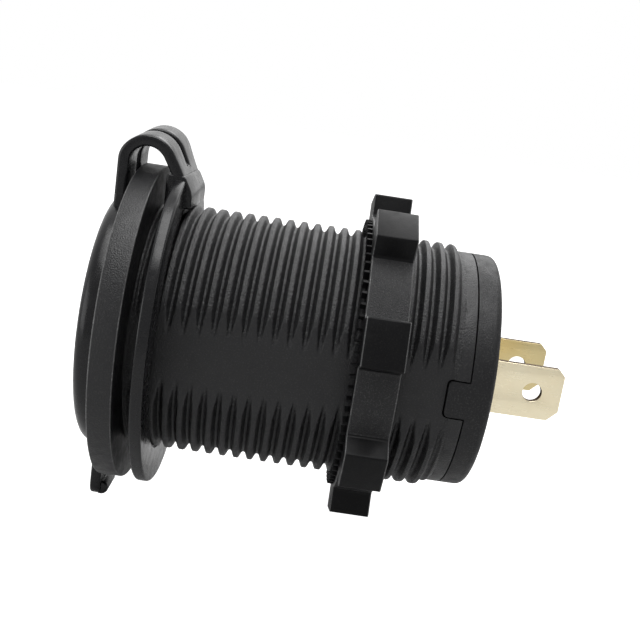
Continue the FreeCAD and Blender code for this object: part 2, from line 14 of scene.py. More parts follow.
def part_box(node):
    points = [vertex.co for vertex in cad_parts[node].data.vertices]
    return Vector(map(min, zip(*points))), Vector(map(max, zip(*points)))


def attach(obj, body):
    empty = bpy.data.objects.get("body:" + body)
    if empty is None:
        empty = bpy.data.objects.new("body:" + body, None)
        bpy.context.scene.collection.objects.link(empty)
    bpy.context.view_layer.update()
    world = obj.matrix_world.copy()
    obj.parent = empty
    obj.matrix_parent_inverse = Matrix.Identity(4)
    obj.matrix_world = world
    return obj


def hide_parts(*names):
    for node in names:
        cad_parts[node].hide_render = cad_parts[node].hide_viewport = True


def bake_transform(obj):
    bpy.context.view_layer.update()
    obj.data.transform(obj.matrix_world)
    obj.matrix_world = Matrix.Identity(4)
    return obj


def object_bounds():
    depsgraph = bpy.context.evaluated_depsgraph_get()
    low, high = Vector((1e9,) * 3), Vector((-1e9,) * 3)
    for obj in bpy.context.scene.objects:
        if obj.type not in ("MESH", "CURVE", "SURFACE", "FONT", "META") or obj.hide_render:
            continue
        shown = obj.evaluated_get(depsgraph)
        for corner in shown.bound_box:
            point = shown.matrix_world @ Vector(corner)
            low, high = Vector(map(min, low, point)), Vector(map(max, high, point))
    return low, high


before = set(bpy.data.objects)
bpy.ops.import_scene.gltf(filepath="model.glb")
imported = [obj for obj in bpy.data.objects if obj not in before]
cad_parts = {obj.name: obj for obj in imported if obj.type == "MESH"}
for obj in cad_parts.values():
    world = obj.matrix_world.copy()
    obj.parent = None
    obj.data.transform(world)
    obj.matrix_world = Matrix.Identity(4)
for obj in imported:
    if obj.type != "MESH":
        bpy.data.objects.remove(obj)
CAD_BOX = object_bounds()
MM = 0.001

# %% [markdown]
# ## The camera
# The socket is seen from its side, a little from above, and close, so its circles open up towards
# both ends. The eye's place, turn and focal length come from fitting the flange, the cap's ring,
# the thread and the rear seam, which are all circles about one axis. A rolled camera is easiest to
# give as three directions, because a camera's matrix is just its right, up and back.

# %% Camera
FRAME_PX = 640
SENSOR_MM = 36.0
FOCAL_PX = 921.1
EYE = Vector((107.13, 18.01, 28.63)) * MM
TURN, TILT, ROLL = math.radians(-1.137), math.radians(13.328), math.radians(8.821)
NEAREST = 0.005

ahead = Vector((-math.cos(TILT) * math.cos(TURN), -math.cos(TILT) * math.sin(TURN),
                -math.sin(TILT)))
level = Vector((-math.sin(TURN), math.cos(TURN), 0))
above = level.cross(ahead)
right = math.cos(ROLL) * level + math.sin(ROLL) * above
up = math.cos(ROLL) * above - math.sin(ROLL) * level

camera_data = bpy.data.cameras.new("camera")
camera_data.sensor_width = SENSOR_MM
camera_data.lens = FOCAL_PX * SENSOR_MM / FRAME_PX
camera_data.clip_start = NEAREST
camera = bpy.data.objects.new("camera", camera_data)
bpy.context.collection.objects.link(camera)
camera.matrix_world = Matrix((right, up, -ahead)).transposed().to_4x4()
camera.location = EYE
scene = bpy.context.scene
scene.camera = camera
scene.view_settings.view_transform = "Standard"
print("lens %.1f mm" % camera_data.lens)

# %% [markdown]
# ## Studio
# The picture's ground is white, but white walls that really shone would wash out black plastic. So
# the room and the floor have three levels, picked by the Light Path node: white for the eye, the
# room's own brightness for reflections and glass, and a weak level for the light they give. The
# room is dimmer behind the camera, as a real one is, and the floor lies close under the part, so
# that it keeps the part's shadow.

# %% Levels of light


def math_node(tree, operation, first, second):
    node = tree.nodes.new("ShaderNodeMath")
    node.operation = operation
    for value, socket in zip((first, second), node.inputs):
        if isinstance(value, float):
            socket.default_value = value
        else:
            tree.links.new(value, socket)
    return node.outputs[0]


def ramp(tree, value, from_pair, to_pair):
    """Straight change of one value into another, held at both ends."""
    node = tree.nodes.new("ShaderNodeMapRange")
    node.inputs["From Min"].default_value, node.inputs["From Max"].default_value = from_pair
    node.inputs["To Min"].default_value, node.inputs["To Max"].default_value = to_pair
    tree.links.new(value, node.inputs["Value"])
    return node.outputs["Result"]


def seen_level(tree, unseen, mirrored, white):
    """White for the eye, mirrored for reflections and glass, unseen for the light it gives."""
    path = tree.nodes.new("ShaderNodeLightPath").outputs
    mirror = math_node(tree, "MAXIMUM", path["Is Glossy Ray"], path["Is Transmission Ray"])
    reflected = math_node(tree, "MULTIPLY", mirror, mirrored)
    lit = math_node(tree, "MAXIMUM", reflected, unseen)
    seen = math_node(tree, "MULTIPLY", path["Is Camera Ray"], white)
    return math_node(tree, "MAXIMUM", lit, seen)


def axis_of(tree, coords_name, axis):
    """One coordinate of the surface, or of the view ray in the world."""
    coords = tree.nodes.new("ShaderNodeTexCoord")
    split = tree.nodes.new("ShaderNodeSeparateXYZ")
    tree.links.new(coords.outputs[coords_name], split.inputs[0])
    return split.outputs[axis]


print("levels: eye, reflections, light given")

# %% Room
ROOM_LIGHT = 0.22
ROOM_DIM, ROOM_SPAN = 0.50, (-0.3, 0.5)

world = bpy.data.worlds.new("white_room")
world.use_nodes = True
scene.world = world
room = world.node_tree
background = room.nodes["Background"]
background.inputs["Color"].default_value = (1, 1, 1, 1)
walls = ramp(room, axis_of(room, "Generated", "X"), ROOM_SPAN, (1.0, ROOM_DIM))
room.links.new(seen_level(room, ROOM_LIGHT, walls, 1.0), background.inputs["Strength"])
print("room gives", ROOM_LIGHT, "and mirrors 1.0 to", ROOM_DIM)

# %% Floor
FLOOR_DROP, FLOOR_SIZE = 0.004, 3.0
FLOOR_GREY, FLOOR_ROUGH, FLOOR_GLOW = 0.6, 0.9, 0.90
FLOOR_MIRROR, FLOOR_SPAN = 0.15, (-0.1, 0.1)

low, high = (Vector(corner) for corner in CAD_BOX)
bpy.ops.mesh.primitive_plane_add(size=FLOOR_SIZE, location=(0, 0, low.z - FLOOR_DROP))
floor = bpy.context.active_object
floor.name = "floor"
paint = bpy.data.materials.new("floor_white")
paint.use_nodes = True
ground = paint.node_tree
floor_shader = ground.nodes["Principled BSDF"]
floor_shader.inputs["Base Color"].default_value = (FLOOR_GREY, FLOOR_GREY, FLOOR_GREY, 1)
floor_shader.inputs["Roughness"].default_value = FLOOR_ROUGH
floor_shader.inputs["Emission Color"].default_value = (1, 1, 1, 1)
glow = ramp(ground, axis_of(ground, "Object", "X"), FLOOR_SPAN, (FLOOR_MIRROR, 0.0))
ground.links.new(seen_level(ground, 0.0, glow, FLOOR_GLOW),
                 floor_shader.inputs["Emission Strength"])
floor.data.materials.append(paint)
print("floor at %.1f mm" % ((low.z - FLOOR_DROP) / MM))

# %% [markdown]
# Black plastic is all reflections, so it is lit by large soft panels, which give broad highlights
# without hard spots: a wide one overhead, a weaker one behind that draws the top edges, and a weak
# one at the camera's left that opens up the lid and the flange.

# %% Lamps
MIDDLE = (low + high) / 2
LAMPS = {
    "overhead": ((0.11, 0.01, 0.46), 0.36, 2.3),
    "back": ((-0.35, 0.10, 0.38), 0.35, 1.0),
    "front_left": ((0.22, -0.36, 0.03), 0.30, 0.6),
}


def soft_panel(name, place, size, watts):
    """Square area lamp that looks at the object's middle."""
    lamp = bpy.data.lights.new(name, "AREA")
    lamp.shape = "SQUARE"
    lamp.size = size
    lamp.energy = watts
    holder = bpy.data.objects.new(name, lamp)
    bpy.context.collection.objects.link(holder)
    holder.location = MIDDLE + Vector(place)
    holder.rotation_euler = (-Vector(place)).to_track_quat("-Z", "Y").to_euler()


for lamp_name, setting in LAMPS.items():
    soft_panel(lamp_name, *setting)
print("lamps", list(LAMPS))

# %% [markdown]
# ## Finishes
# The barrel, nut and cover are black nylon from a spark-eroded mould: a fine orange-peel grain that
# breaks up every highlight, with pale flecks where the filler shows. Two noise sizes drive the
# bump, a wider noise varies the roughness, and a slow one shifts the colour a little, as on any
# moulded part. Noise in object coordinates needs no unwrapping and no image.

# %% Helpers for materials
NOISE_MIDDLE = (0.3, 0.7)


def new_finish(name):
    finish = bpy.data.materials.new(name)
    finish.use_nodes = True
    tree = finish.node_tree
    coords = tree.nodes.new("ShaderNodeTexCoord")
    return finish, tree, tree.nodes["Principled BSDF"], coords.outputs["Object"]


def noise(tree, coords, grain_mm, detail=2.0):
    node = tree.nodes.new("ShaderNodeTexNoise")
    node.inputs["Scale"].default_value = 1 / (grain_mm * MM)
    node.inputs["Detail"].default_value = detail
    tree.links.new(coords, node.inputs["Vector"])
    return node.outputs["Fac"]


def spread(tree, value, low_value, high_value):
    """Map a noise's middle range to a pair of values."""
    return ramp(tree, value, NOISE_MIDDLE, (low_value, high_value))


def colour_mix(tree, value, first, second):
    """Blend of two colours, each a triple or another node's output."""
    node = tree.nodes.new("ShaderNodeMix")
    node.data_type = "RGBA"
    for colour, socket in ((first, node.inputs["A"]), (second, node.inputs["B"])):
        if isinstance(colour, tuple):
            socket.default_value = (*colour, 1)
        else:
            tree.links.new(colour, socket)
    tree.links.new(value, node.inputs["Factor"])
    return node.outputs["Result"]


def bump(tree, height, depth_mm, shader, below=None):
    node = tree.nodes.new("ShaderNodeBump")
    node.inputs["Distance"].default_value = depth_mm * MM
    tree.links.new(height, node.inputs["Height"])
    if below:
        tree.links.new(below, node.inputs["Normal"])
    tree.links.new(node.outputs["Normal"], shader.inputs["Normal"])
    return node.outputs["Normal"]


print("noise is used between", NOISE_MIDDLE)

# %% Moulded finishes
SHADE_MM, SHEEN_MM = 6.0, 1.2
FLECK_PEAKS = (0.56, 0.70)
FINER, FLATTER = 3, 4


def moulded_finish(name, dark, light, fleck_grey, grain_mm, depth_mm, rough, gloss):
    """Moulded plastic or rubber: flecks, grain in two sizes, uneven roughness, shifts of colour."""
    finish, tree, shader, coords = new_finish(name)
    moulded = colour_mix(tree, noise(tree, coords, SHADE_MM), dark, light)
    peaks = ramp(tree, noise(tree, coords, grain_mm, 1.0), FLECK_PEAKS, (0.0, 1.0))
    flecked = colour_mix(tree, peaks, moulded, (fleck_grey, fleck_grey, fleck_grey))
    tree.links.new(flecked, shader.inputs["Base Color"])
    tree.links.new(spread(tree, noise(tree, coords, SHEEN_MM), *rough), shader.inputs["Roughness"])
    shader.inputs["Specular IOR Level"].default_value = gloss
    coarse = bump(tree, noise(tree, coords, grain_mm), depth_mm, shader)
    bump(tree, noise(tree, coords, grain_mm / FINER), depth_mm / FLATTER, shader, coarse)
    return finish


BLACK_NYLON = moulded_finish(
    "black_nylon", (0.007, 0.007, 0.008), (0.012, 0.012, 0.013),
    fleck_grey=0.022, grain_mm=0.17, depth_mm=0.055, rough=(0.33, 0.47), gloss=0.38)
THREAD_NYLON = moulded_finish(
    "thread_nylon", (0.007, 0.007, 0.008), (0.012, 0.012, 0.013),
    fleck_grey=0.030, grain_mm=0.20, depth_mm=0.11, rough=(0.33, 0.47), gloss=0.36)
COVER_NYLON = moulded_finish(
    "cover_nylon", (0.008, 0.008, 0.009), (0.014, 0.014, 0.015),
    fleck_grey=0.028, grain_mm=0.17, depth_mm=0.045, rough=(0.38, 0.54), gloss=0.25)
NUT_NYLON = moulded_finish(
    "nut_nylon", (0.004, 0.004, 0.0045), (0.007, 0.007, 0.0075),
    fleck_grey=0.010, grain_mm=0.15, depth_mm=0.012, rough=(0.32, 0.46), gloss=0.11)
NUT_GRAINED = moulded_finish(
    "nut_grained", (0.010, 0.010, 0.011), (0.018, 0.018, 0.019),
    fleck_grey=0.045, grain_mm=0.14, depth_mm=0.10, rough=(0.40, 0.56), gloss=0.30)
# Pale edge finish: partly wear, partly a painted highlight along the edges.
WORN_EDGE_AND_HIGHLIGHT = moulded_finish(
    "worn_edge_and_painted_highlight", (0.03, 0.03, 0.031), (0.10, 0.10, 0.10),
    fleck_grey=0.15, grain_mm=0.20, depth_mm=0.02, rough=(0.36, 0.50), gloss=0.40)
SOFT_RUBBER = moulded_finish(
    "soft_rubber", (0.005, 0.005, 0.006), (0.009, 0.009, 0.010),
    fleck_grey=0.012, grain_mm=0.18, depth_mm=0.006, rough=(0.18, 0.30), gloss=0.31)
print("finishes", [m.name for m in bpy.data.materials])

# %% [markdown]
# Stamped brass strip has faint rolling lines along its length and a soft sheen. A noise stretched
# along the blade gives the lines, and a slow noise tarnishes it. Its sheared edges are rough and
# dark, so they get a finish without metal reflections. The same two recipes serve the metal and
# board parts inside.

# %% Recipes for metal and board
TARNISH_MM = 3.0
TINT_MM, PATCH_MM = 1.5, 0.6


def metal_finish(name, dark, light, rough, line_way, line_mm=0.08, depth_mm=0.004):
    """Metal with rolling lines along one axis and slow tarnish."""
    finish, tree, shader, coords = new_finish(name)
    shader.inputs["Metallic"].default_value = 1.0
    stretch = tree.nodes.new("ShaderNodeMapping")
    stretch.inputs["Scale"].default_value = line_way
    tree.links.new(coords, stretch.inputs["Vector"])
    lines = noise(tree, stretch.outputs["Vector"], line_mm)
    tarnished = colour_mix(tree, noise(tree, coords, TARNISH_MM), dark, light)
    tree.links.new(tarnished, shader.inputs["Base Color"])
    tree.links.new(spread(tree, lines, *rough), shader.inputs["Roughness"])
    bump(tree, lines, depth_mm, shader)
    return finish


def plain_finish(name, dark, light, rough, grain_mm=0.25, depth_mm=0.01, gloss=0.5):
    """Board, ceramic, sheared metal or moulded part with a fine even grain."""
    finish, tree, shader, coords = new_finish(name)
    shader.inputs["Specular IOR Level"].default_value = gloss
    tinted = colour_mix(tree, noise(tree, coords, TINT_MM), dark, light)
    tree.links.new(tinted, shader.inputs["Base Color"])
    tree.links.new(spread(tree, noise(tree, coords, PATCH_MM), *rough), shader.inputs["Roughness"])
    bump(tree, noise(tree, coords, grain_mm), depth_mm, shader)
    return finish


print("recipes for metal and board ready")

# %% Metals
ALONG_X, ALONG_Y, ALONG_Z = (0.05, 1, 1), (1, 0.05, 1), (1, 1, 0.05)
BLADE_LINES, COIL_LINES = (1, 0.04, 1), (0.05, 0.05, 3)

BLADE_BRASS = metal_finish(
    "blade_brass", (0.97, 0.84, 0.58), (1.0, 0.92, 0.69), (0.26, 0.36), BLADE_LINES,
    depth_mm=0.0015)
# The far blade's brass is darker than the near one's: a painted shade.
BLADE_PAINTED_SHADE = metal_finish(
    "blade_darker_painted_shade", (0.72, 0.59, 0.30), (0.84, 0.71, 0.40), (0.26, 0.38), BLADE_LINES,
    depth_mm=0.0015)
SHELL_NICKEL = metal_finish(
    "shell_nickel", (0.60, 0.60, 0.61), (0.70, 0.70, 0.71), (0.18, 0.32), ALONG_X)
CONTACT_GOLD = metal_finish(
    "contact_gold", (0.80, 0.58, 0.22), (0.88, 0.68, 0.32), (0.2, 0.3), ALONG_Y)
CAN_ALUMINIUM = metal_finish(
    "can_aluminium", (0.68, 0.68, 0.69), (0.78, 0.78, 0.79), (0.25, 0.4), ALONG_Z)
COPPER_WIRE = metal_finish(
    "copper_wire", (0.60, 0.24, 0.09), (0.74, 0.34, 0.15), (0.25, 0.4), COIL_LINES,
    line_mm=0.4, depth_mm=0.08)
SHEARED_BRASS = plain_finish(
    "sheared_brass", (0.06, 0.04, 0.022), (0.13, 0.09, 0.055), (0.5, 0.65), gloss=0.12)
print("finishes", len(bpy.data.materials))

# %% Board parts
WINDOW_CLEARNESS = 0.7

BOARD_GREEN = plain_finish(
    "board_green", (0.015, 0.10, 0.04), (0.025, 0.15, 0.06), (0.3, 0.45))
TONGUE_WHITE = plain_finish(
    "tongue_white", (0.72, 0.72, 0.69), (0.80, 0.80, 0.77), (0.4, 0.55))
FERRITE = plain_finish(
    "ferrite", (0.03, 0.03, 0.033), (0.05, 0.05, 0.055), (0.5, 0.7), 0.15, 0.03)
CHIP_EPOXY = plain_finish(
    "chip_epoxy", (0.012, 0.012, 0.013), (0.025, 0.025, 0.027), (0.45, 0.6), 0.12)
LAMP_LENS = plain_finish(
    "lamp_lens", (0.55, 0.62, 0.70), (0.65, 0.72, 0.80), (0.15, 0.25))
WINDOW_CLEAR = plain_finish(
    "window_clear", (0.80, 0.86, 0.90), (0.88, 0.93, 0.96), (0.08, 0.16))
window_shader = WINDOW_CLEAR.node_tree.nodes["Principled BSDF"]
window_shader.inputs["Transmission Weight"].default_value = WINDOW_CLEARNESS
print("finishes", len(bpy.data.materials))

# %% [markdown]
# ## Dressing the solids that stay
# The ports, boards and converter parts are right as they come: each only takes its finish, so its
# material slots are all that change.

# %% Finishes of the carried-over nodes
NODE_FINISH = {
    "front_bezel": COVER_NYLON,
    "usb_shell_upper": SHELL_NICKEL, "usb_shell_lower": SHELL_NICKEL,
    "usb_tongue_upper": TONGUE_WHITE, "usb_tongue_lower": TONGUE_WHITE,
    "usb_contacts_upper": CONTACT_GOLD, "usb_contacts_lower": CONTACT_GOLD,
    "main_board": BOARD_GREEN, "terminal_board": BOARD_GREEN,
    "inductor_core": FERRITE, "inductor_coil": COPPER_WIRE,
    "input_capacitor": CAN_ALUMINIUM, "output_capacitor": CAN_ALUMINIUM,
    "controller_chip": CHIP_EPOXY, "rectifier_diode": CHIP_EPOXY, "chip_resistors": CHIP_EPOXY,
    "indicator_led": LAMP_LENS, "indicator_window": WINDOW_CLEAR,
}
for node_name, finish in NODE_FINISH.items():
    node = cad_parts[node_name]
    node.data.materials.clear()
    node.data.materials.append(finish)
print("dressed", len(NODE_FINISH), "nodes")

# %% [markdown]
# ## Mesh tools
# Every new piece starts as a list of points in millimetres. It is welded, turned right side out
# and put on its body, and the solids it stands for are hidden. Modifiers are applied at once, so
# that each piece holds its final mesh. Outlines are given as corners, each with its own rounding, as
# on a drawing.

# %% Pieces
WELD = 0.0005 * MM
SHARP = math.radians(38)


def new_piece(name, points_mm, faces, finish=None, body=None, slot=None, stands_for=()):
    """Mesh object from points in millimetres; without a body it is only a tool for a cut."""
    mesh = bpy.data.meshes.new(name)
    mesh.from_pydata([Vector(p) * MM for p in points_mm], [], faces)
    work = bmesh.new()
    work.from_mesh(mesh)
    bmesh.ops.remove_doubles(work, verts=work.verts, dist=WELD)
    bmesh.ops.dissolve_degenerate(work, edges=work.edges, dist=WELD)
    bmesh.ops.recalc_face_normals(work, faces=work.faces)
    work.to_mesh(mesh)
    work.free()
    piece = bpy.data.objects.new(name, mesh)
    bpy.context.collection.objects.link(piece)
    if finish:
        mesh.materials.append(finish)
    if body:
        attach(piece, body)
    if stands_for:
        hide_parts(*stands_for)
    return piece


def settle(piece):
    """Apply the piece's modifiers and smooth its soft edges."""
    view = bpy.context.evaluated_depsgraph_get()
    baked = bpy.data.meshes.new_from_object(piece.evaluated_get(view))
    piece.modifiers.clear()
    piece.data = baked
    baked.shade_smooth()
    baked.set_sharp_from_angle(angle=SHARP)
    return piece


print("edges past %.0f degrees stay sharp" % math.degrees(SHARP))

# %% Rounded outlines
ROUND_STEPS = 5


def soften(corners):
    """Polyline of (a, b) from corners of (a, b, rounding), closed."""
    points = []
    count = len(corners)
    for i, (a, b, radius) in enumerate(corners):
        if radius <= 0:
            points.append((a, b))
            continue
        here = Vector((a, b))
        before = (Vector(corners[i - 1][:2]) - here).normalized()
        after = (Vector(corners[(i + 1) % count][:2]) - here).normalized()
        half = before.angle(after) / 2
        reach = radius / math.tan(half)
        centre = here + (before + after).normalized() * radius / math.sin(half)
        first, last = here + before * reach - centre, here + after * reach - centre
        swing = first.angle_signed(last)
        for k in range(ROUND_STEPS + 1):
            turned = Matrix.Rotation(-swing * k / ROUND_STEPS, 2) @ first
            points.append(tuple(centre + turned))
    return points


print("each rounding has", ROUND_STEPS, "steps")

# %% [markdown]
# ## The threaded barrel
# The barrel is one moulding: flange, neck, thread, a plain rear band, and a stepped bore. Its
# thread is a true helix, which fades in and out at its ends and into two flats where the mould
# halves part. Bump could not give its scalloped outline, so it is modelled.

# %% Barrel sizes
barrel_low, barrel_high = (Vector(c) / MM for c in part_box("barrel_housing"))
FLANGE_RADIUS = barrel_high.x
FLANGE_FRONT = barrel_low.y
SEAM_Y = barrel_high.y
NECK_RADIUS, BAND_RADIUS, BORE_RADIUS = 14.0, 13.8, 12.0
THREAD_RADIUS, THREAD_DEPTH, THREAD_PITCH = 14.5, 0.80, 1.61
THREAD_START, THREAD_END = 0.17, 35.3
FLAT_OFFSET = 13.42
BEZEL_REAR, LIP_RADIUS, LIP_REAR = 4.0, 11.4, 5.0
print("flange radius %.2f mm, seam at %.2f mm" % (FLANGE_RADIUS, SEAM_Y))

# %% [markdown]
# Light shows the thread's form: a broad crest and a narrow root are both bright where they face up,
# and the flanks between them are dark. The turns lean as they do in the photo, where they climb to
# the rear on the way up. The flats limit the radius, as the mould's straight inserts do, with a
# soft corner, and a thin bead runs along the parting line.

# %% Thread form
THREAD_COLUMNS, THREAD_ROWS = 240, 16
FADE = 1.1
CREST_PLACE, CREST_HALF, ROOT_HALF = 0.955, 0.125, 0.055
FLAT_ROUND, PARTING_BEAD = 0.12, 0.03
LEAST_COS = 0.2


def ease(t):
    t = min(max(t, 0.0), 1.0)
    return t * t * (3 - 2 * t)


def lesser(a, b):
    """The smaller of two radii, with the corner between them rounded off."""
    share = min(max(0.5 + 0.5 * (b - a) / FLAT_ROUND, 0.0), 1.0)
    return b + (a - b) * share - FLAT_ROUND * share * (1 - share)


def groove_share(place):
    """Share of the groove's depth at a place within one pitch: 0 on the crest, 1 at the root."""
    off_crest = abs((place - CREST_PLACE + 0.5) % 1 - 0.5)
    return ease((off_crest - CREST_HALF) / (0.5 - ROOT_HALF - CREST_HALF))


def thread_point(column, row):
    """One point of the threaded wall: the row follows the helix, the flats limit the radius."""
    angle = 2 * math.pi * column / THREAD_COLUMNS
    y = THREAD_START + (row / THREAD_ROWS - 1 + column / THREAD_COLUMNS) * THREAD_PITCH
    y = min(max(y, THREAD_START), THREAD_END)
    ridge = THREAD_RADIUS - THREAD_DEPTH * groove_share(row / THREAD_ROWS)
    share = (y - THREAD_START) / (THREAD_END - THREAD_START)
    plain = NECK_RADIUS + (BAND_RADIUS - NECK_RADIUS) * share
    fade = ease((y - THREAD_START) / FADE) * ease((THREAD_END - y) / FADE)
    flat = FLAT_OFFSET / max(abs(math.cos(angle)), LEAST_COS)
    if column % (THREAD_COLUMNS // 2) == 0:
        flat += PARTING_BEAD
    limit = max(flat, plain) if fade == 0 else flat + (plain - flat) * max(0, 1 - 2 * fade)
    radius = lesser(plain + (ridge - plain) * fade, limit)
    return radius * math.cos(angle), y, radius * math.sin(angle)


print("crest %.2f mm wide, root %.2f mm" % (2 * CREST_HALF * THREAD_PITCH,
                                            2 * ROOT_HALF * THREAD_PITCH))

# %% [markdown]
# The wall is a sheared grid: each row of points follows one line of the helix, and the last column
# joins the first one turn further on. Such a grid keeps its rows along the crests, where a plain
# grid would cut across them and leave steps.

# %% Barrel mesh


def barrel_mesh():
    """The barrel's profile turned about the axis, with the helical wall in its threaded stretch."""
    profile = soften([
        (BORE_RADIUS, FLANGE_FRONT, 0.3), (FLANGE_RADIUS, FLANGE_FRONT, 0.22),
        (FLANGE_RADIUS, 0.0, 0.18), (NECK_RADIUS, 0.0, 0.25),
        (NECK_RADIUS, THREAD_START, 0.0), (BAND_RADIUS, THREAD_END, 0.0),
        (BAND_RADIUS, SEAM_Y, 0.12), (BORE_RADIUS, SEAM_Y, 0.2),
        (BORE_RADIUS, LIP_REAR, 0.0), (LIP_RADIUS, LIP_REAR, 0.0),
        (LIP_RADIUS, BEZEL_REAR, 0.0), (BORE_RADIUS, BEZEL_REAR, 0.0),
    ])
    split = profile.index((NECK_RADIUS, THREAD_START))
    turns = math.ceil((THREAD_END - THREAD_START) / THREAD_PITCH) + 1
    rows = turns * THREAD_ROWS
    count = len(profile) + rows - 1

    def one_turn_on(place):
        on_wall = split <= place <= split + rows
        return min(place + THREAD_ROWS, split + rows) if on_wall else place

    points, faces = [], []
    for column in range(THREAD_COLUMNS):
        angle = 2 * math.pi * column / THREAD_COLUMNS
        ring = [(r * math.cos(angle), y, r * math.sin(angle)) for r, y in profile]
        wall = [thread_point(column, row) for row in range(rows + 1)]
        points += ring[:split] + wall + ring[split + 2:]
        here, there = column * count, (column + 1) % THREAD_COLUMNS * count
        for place in range(count):
            after = (place + 1) % count
            ends = (place, after)
            if column + 1 == THREAD_COLUMNS:
                ends = one_turn_on(place), one_turn_on(after)
            faces.append((here + place, here + after, there + ends[1], there + ends[0]))
    return points, faces


barrel = new_piece("barrel_moulding", *barrel_mesh(), BLACK_NYLON, "socket", "black_plastic",
                   ["barrel_housing"])
settle(barrel)
print("barrel triangles", sum(len(p.vertices) - 2 for p in barrel.data.polygons))

# %% [markdown]
# The flange's two edges are painted pale, partly as wear from handling and partly as a painted
# highlight, and the thread is coarser from the mould than the flats and the flange. A piece can hold
# several finishes: each face names one by its slot, picked here by where the face lies and which way
# it looks.

# %% Barrel finishes by face
EDGE_SLOT, THREAD_SLOT = 1, 2
EDGE_WIDTH, EDGE_TILT = 0.25, (0.2, 0.9)
WALL_DEPTH, FLAT_FACING = 1, 0.98
# The edge finish is partly wear and partly a painted highlight.
barrel.data.materials.append(WORN_EDGE_AND_HIGHLIGHT)
barrel.data.materials.append(THREAD_NYLON)
for face in barrel.data.polygons:
    radius, tilt = math.hypot(face.center.x, face.center.z) / MM, abs(face.normal.y)
    on_thread = THREAD_START < face.center.y / MM < THREAD_END and radius > BORE_RADIUS + WALL_DEPTH
    if radius > FLANGE_RADIUS - EDGE_WIDTH and EDGE_TILT[0] < tilt < EDGE_TILT[1]:
        face.material_index = EDGE_SLOT
    elif on_thread and abs(face.normal.x) < FLAT_FACING:
        face.material_index = THREAD_SLOT
print("barrel finishes", [m.name for m in barrel.data.materials])

# %% [markdown]
# The rear cover's side clips sit in notches of the rim. One rounded outline serves twice: widened
# by a gap it cuts the notch, and as it is it leaves the clip, so a dark line of even width runs
# round each clip.

# %% Clip notches
CLIP_HALF, CLIP_REACH, CLIP_GAP, CLIP_CORNER = 2.0, 2.2, 0.16, 0.55
CLIP_DEPTH = 2.5
PAST = 1


def prism(outline, y_low, y_high):
    """Points and faces of an (x, z) outline extruded along y."""
    count = len(outline)
    points = [(x, y_low, z) for x, z in outline] + [(x, y_high, z) for x, z in outline]
    faces = [tuple(range(count)), tuple(range(2 * count - 1, count - 1, -1))]
    faces += [(i, (i + 1) % count, (i + 1) % count + count, i + count) for i in range(count)]
    return points, faces


def across(outline, half):
    """Points and faces of a (y, z) outline extruded along x, both ways."""
    points, faces = prism(outline, -half, half)
    return [(along, y, z) for y, along, z in points], faces


def combine(piece, other, operation):
    """Join or cut with another mesh, which is then removed."""
    change = piece.modifiers.new(operation.lower(), "BOOLEAN")
    change.operation = operation
    change.solver = "EXACT"
    change.object = other
    settle(piece)
    bpy.data.objects.remove(other)
    return piece


def clip_tool(side, gap):
    """A clip's rounded outline, widened by a gap and extruded through the wall."""
    half, front, rear = CLIP_HALF + gap, SEAM_Y - CLIP_REACH - gap, SEAM_Y + PAST
    outline = soften([(front, -half, CLIP_CORNER), (rear, -half, 0.0),
                      (rear, half, 0.0), (front, half, CLIP_CORNER)])
    points, faces = across(outline, CLIP_DEPTH)
    return new_piece("clip", [(x + side * BAND_RADIUS, y, z) for x, y, z in points], faces)


for side in (1, -1):
    combine(barrel, clip_tool(side, CLIP_GAP), "DIFFERENCE")
print("barrel faces", len(barrel.data.polygons))

# %% [markdown]
# ## The rear cover
# A shallow cup closes the barrel, with a well rounded outer edge, a spigot in the bore and two
# clips that lie flush with the barrel. The cup is turned with a long rim, and a skirt that has the
# clips' outline left out then cuts the rim away. Rim and clips so share one cylinder, and no seam
# shows between them. A small gap to the barrel draws the dark joint line.

# %% Turning and flush shading
TURN_STEPS = 192
AXIS_RADIUS = 0.01


def lathe(profile):
    """Points and faces of a closed (radius, y) profile turned about the axis."""
    points, faces = [], []
    count = len(profile)
    for i in range(TURN_STEPS):
        angle = 2 * math.pi * i / TURN_STEPS
        points += [(r * math.cos(angle), y, r * math.sin(angle)) for r, y in profile]
        here, there = i * count, (i + 1) % TURN_STEPS * count
        for j in range(count):
            k = (j + 1) % count
            faces.append((here + j, here + k, there + k, there + j))
    return points, faces


def round_shading(piece, radius_mm, facing=0.999, slack_mm=0.02):
    """Shade the faces on one cylinder about the axis as truly round."""
    mesh = piece.data
    normals = [(0, 0, 0)] * len(mesh.loops)
    for face in mesh.polygons:
        outwards = Vector((face.center.x, 0, face.center.z))
        if face.normal.dot(outwards.normalized()) < facing:
            continue
        if abs(outwards.length / MM - radius_mm) > slack_mm:
            continue
        for loop in face.loop_indices:
            point = mesh.vertices[mesh.loops[loop].vertex_index].co
            normals[loop] = tuple(Vector((point.x, 0, point.z)).normalized())
    mesh.normals_split_custom_set(normals)


print("turned pieces have", TURN_STEPS, "steps")

# %% Rear cover
cover_low, cover_high = (Vector(c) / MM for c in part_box("rear_cover"))
COVER_REAR, COVER_FLOOR = cover_high.y, 1.8
COVER_INSIDE = COVER_REAR - COVER_FLOOR
SPIGOT_RADIUS, SPIGOT_FRONT, SPIGOT_WALL = BORE_RADIUS - 0.1, cover_low.y, 1.1
CLIP_FRONT, SEAM_GAP, SKIRT_GAP = SEAM_Y - CLIP_REACH, 0.10, 0.02

